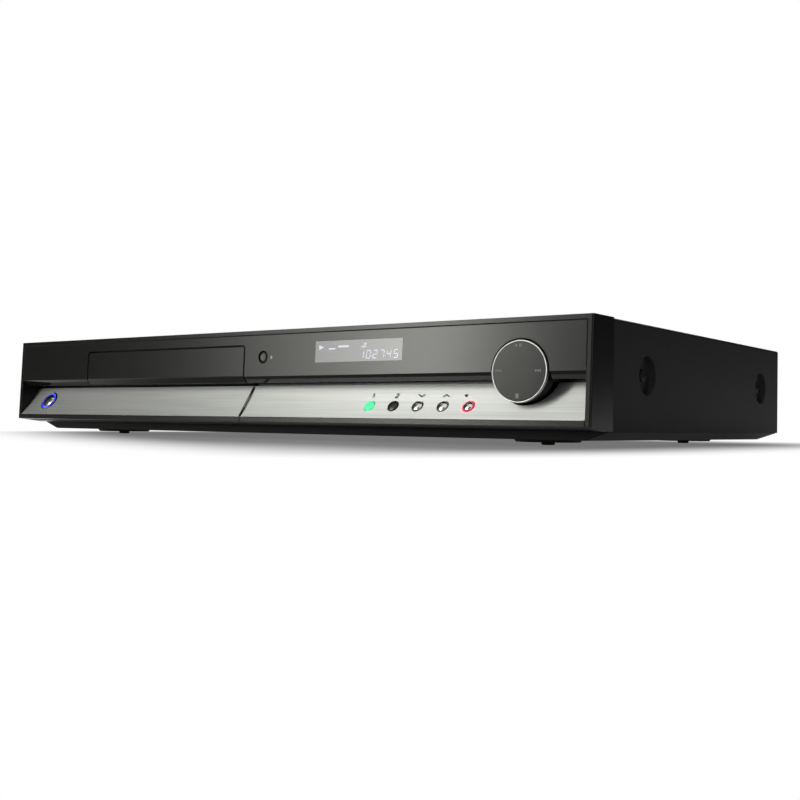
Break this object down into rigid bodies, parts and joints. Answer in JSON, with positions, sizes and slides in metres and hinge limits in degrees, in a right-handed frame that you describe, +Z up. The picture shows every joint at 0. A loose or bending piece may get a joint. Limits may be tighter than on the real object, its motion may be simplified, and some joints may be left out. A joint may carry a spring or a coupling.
{
  "type": "dvd recorder",
  "caption": "Low black disc and hard-disk recorder with a loading tray, a lit display, a sloping brushed panel with buttons, a rocking disc control and a drop-down flap.",
  "frame": {"origin": "centre of the box's underside, level with the bottoms of the rubber feet", "axes": "+X to the right seen from the front, +Y to the back, +Z up"},
  "size_m": [0.43, 0.2816, 0.061],
  "materials": {
    "black_moulding": "fine moulded texture",
    "black_gloss": "satin gloss, polished lower edge",
    "black_sheet": "fine black powder coat",
    "zinc_sheet": "zinc-plated sheet; the pan and the rear panel are black underneath",
    "brushed_panel": "brushed along its length",
    "display_glass": "smoked lens with a lit lilac display behind it",
    "display_cell": "dark glass cell",
    "board_green": "lacquered circuit board",
    "chip_black": "moulded packages",
    "heatsink_metal": "cast and anodised",
    "light_ring": "clear light guide, lit blue or red",
    "jack_insert": "moulded bodies with nickel or coloured fronts",
    "cable_grey": "flat cable",
    "rubber_black": "moulded rubber",
    "screw_steel": "blackened steel",
    "motor_steel": "ground steel",
    "drive_plastic": "moulded, rubber ring on the seat",
    "chrome_ring": "polished",
    "dial_face": "satin face with faint printed symbols",
    "button_metal": "turned and polished dome",
    "button_green": "translucent lens, lit green"
  },
  "bodies": {
    "case": {"base_pan": "zinc_sheet", "rubber_feet": "rubber_black", "top_cover": "black_sheet", "cover_screws": "screw_steel", "rear_panel": "zinc_sheet", "front_bezel": "black_moulding", "front_plate": "black_gloss", "display_window": "display_glass", "display_module": "display_cell", "display_board": "board_green", "panel_skin": "brushed_panel", "panel_frame": "black_moulding", "button_board": "board_green", "button_light_rings": "light_ring", "front_jack_plate": "black_moulding", "front_jacks": "jack_insert", "main_board": "board_green", "main_chips": "chip_black", "main_heatsink": "heatsink_metal", "supply_board": "board_green", "supply_parts": "chip_black", "hard_disk": "heatsink_metal", "hard_disk_bracket": "zinc_sheet", "fan_frame": "black_moulding", "tuner_module": "zinc_sheet", "scart_sockets": "black_moulding", "rear_rca_jacks": "jack_insert", "rear_digital_sockets": "jack_insert", "mains_inlet": "black_moulding", "ribbon_cables": "cable_grey", "drive_frame": "black_moulding", "clamp_bridge": "zinc_sheet", "loading_motor": "motor_steel", "drive_belt": "rubber_black"},
    "fan": {"fan_rotor": "black_moulding"},
    "tray": {"disc_tray": "black_moulding", "tray_door": "black_gloss"},
    "loading_gear_body": {"loading_gear": "black_moulding"},
    "motor_pulley_body": {"motor_pulley": "black_moulding"},
    "traverse": {"traverse_chassis": "zinc_sheet", "guide_rods": "motor_steel", "sled_motor": "motor_steel", "spindle_motor": "motor_steel"},
    "cam_slider_body": {"cam_slider": "black_moulding"},
    "turntable_body": {"turntable": "drive_plastic"},
    "clamper": {"clamper_puck": "drive_plastic"},
    "sled": {"pickup_sled": "drive_plastic"},
    "feed_screw_body": {"feed_screw": "motor_steel"},
    "flap": {"flap_skin": "brushed_panel", "flap_carrier": "black_moulding"},
    "power_button_body": {"power_button": "button_metal"},
    "eject_button_body": {"eject_button": "black_moulding"},
    "source_button_1_body": {"source_button_1": "button_green"},
    "source_button_2_body": {"source_button_2": "black_moulding"},
    "channel_down_body": {"channel_down_button": "button_metal"},
    "channel_up_body": {"channel_up_button": "button_metal"},
    "record_button_body": {"record_button": "button_metal"},
    "dial_gimbal_body": {"dial_gimbal": "black_moulding"},
    "dial_body": {"dial_disc": "dial_face", "dial_ring": "chrome_ring"}
  },
  "joints": [
    {"name": "tray_slide", "type": "slide", "parent": "case", "child": "tray", "axis": [0, -1, 0], "range_m": [0, 0.134]},
    {"name": "loading_gear_turn", "type": "hinge", "parent": "case", "child": "loading_gear_body", "pos_m": [-0.03, -0.10723, 0.0332], "axis": [0, 0, -1], "range_deg": [0, 1284.61]},
    {"name": "motor_pulley_turn", "type": "hinge", "parent": "case", "child": "motor_pulley_body", "pos_m": [-0.066, -0.10723, 0.0332], "axis": [0, 0, -1], "range_deg": [0, 4797.19]},
    {"name": "traverse_tilt", "type": "hinge", "parent": "case", "child": "traverse", "pos_m": [-0.07275, 0.01377, 0.03025], "axis": [1, 0, 0], "range_deg": [0, 4]},
    {"name": "cam_slide", "type": "slide", "parent": "case", "child": "cam_slider_body", "axis": [1, 0, 0], "range_m": [0, 0.0122]},
    {"name": "turntable_spin", "type": "hinge", "parent": "traverse", "child": "turntable_body", "pos_m": [-0.07275, -0.06623, 0.0442], "axis": [0, 0, 1], "continuous": true},
    {"name": "clamper_spin", "type": "hinge", "parent": "case", "child": "clamper", "pos_m": [-0.07275, -0.06623, 0.0505], "axis": [0, 0, 1], "continuous": true},
    {"name": "sled_slide", "type": "slide", "parent": "traverse", "child": "sled", "axis": [0, 1, 0], "range_m": [0, 0.033]},
    {"name": "feed_screw_turn", "type": "hinge", "parent": "traverse", "child": "feed_screw_body", "pos_m": [-0.03875, -0.03923, 0.0336], "axis": [0, 1, 0], "continuous": true},
    {"name": "fan_spin", "type": "hinge", "parent": "case", "child": "fan", "pos_m": [0.155, 0.12577, 0.032], "axis": [0, 1, 0], "continuous": true},
    {"name": "flap_hinge", "type": "hinge", "parent": "case", "child": "flap", "pos_m": [0, -0.13373, 0.0104], "axis": [1, 0, 0], "range_deg": [0, 95]},
    {"name": "power_press", "type": "slide", "parent": "case", "child": "power_button_body", "axis": [0, 0.822, -0.5694], "range_m": [0, 0.0008], "stiffness_N_per_m": 400, "springref_m": -0.0003},
    {"name": "eject_press", "type": "slide", "parent": "case", "child": "eject_button_body", "axis": [0, 0.9991, -0.0427], "range_m": [0, 0.0008], "stiffness_N_per_m": 400, "springref_m": -0.0003},
    {"name": "source_1_press", "type": "slide", "parent": "case", "child": "source_button_1_body", "axis": [0, 0.822, -0.5694], "range_m": [0, 0.0008], "stiffness_N_per_m": 400, "springref_m": -0.0003},
    {"name": "source_2_press", "type": "slide", "parent": "case", "child": "source_button_2_body", "axis": [0, 0.822, -0.5694], "range_m": [0, 0.0008], "stiffness_N_per_m": 400, "springref_m": -0.0003},
    {"name": "channel_down_press", "type": "slide", "parent": "case", "child": "channel_down_body", "axis": [0, 0.822, -0.5694], "range_m": [0, 0.0008], "stiffness_N_per_m": 400, "springref_m": -0.0003},
    {"name": "channel_up_press", "type": "slide", "parent": "case", "child": "channel_up_body", "axis": [0, 0.822, -0.5694], "range_m": [0, 0.0008], "stiffness_N_per_m": 400, "springref_m": -0.0003},
    {"name": "record_press", "type": "slide", "parent": "case", "child": "record_button_body", "axis": [0, 0.822, -0.5694], "range_m": [0, 0.0008], "stiffness_N_per_m": 400, "springref_m": -0.0003},
    {"name": "dial_rock_up_down", "type": "hinge", "parent": "case", "child": "dial_gimbal_body", "pos_m": [0.1775, -0.13334, 0.03494], "axis": [1, 0, 0], "range_deg": [-2.5, 2.5], "stiffness_Nm_per_rad": 0.6},
    {"name": "dial_rock_left_right", "type": "hinge", "parent": "dial_gimbal_body", "child": "dial_body", "pos_m": [0.1775, -0.13334, 0.03494], "axis": [0, 0.0427, 0.9991], "range_deg": [-2.5, 2.5], "stiffness_Nm_per_rad": 0.6}
  ],
  "couplings": [
    {"joint": "loading_gear_turn", "follows": "tray_slide", "rad_per_m": 166.67},
    {"joint": "motor_pulley_turn", "follows": "tray_slide", "rad_per_m": 622.22},
    {"joint": "cam_slide", "follows": "traverse_tilt", "m_per_rad": 0.17189},
    {"joint": "clamper_spin", "follows": "turntable_spin", "ratio": 1},
    {"joint": "feed_screw_turn", "follows": "sled_slide", "rad_per_m": 2094.4}
  ]
}
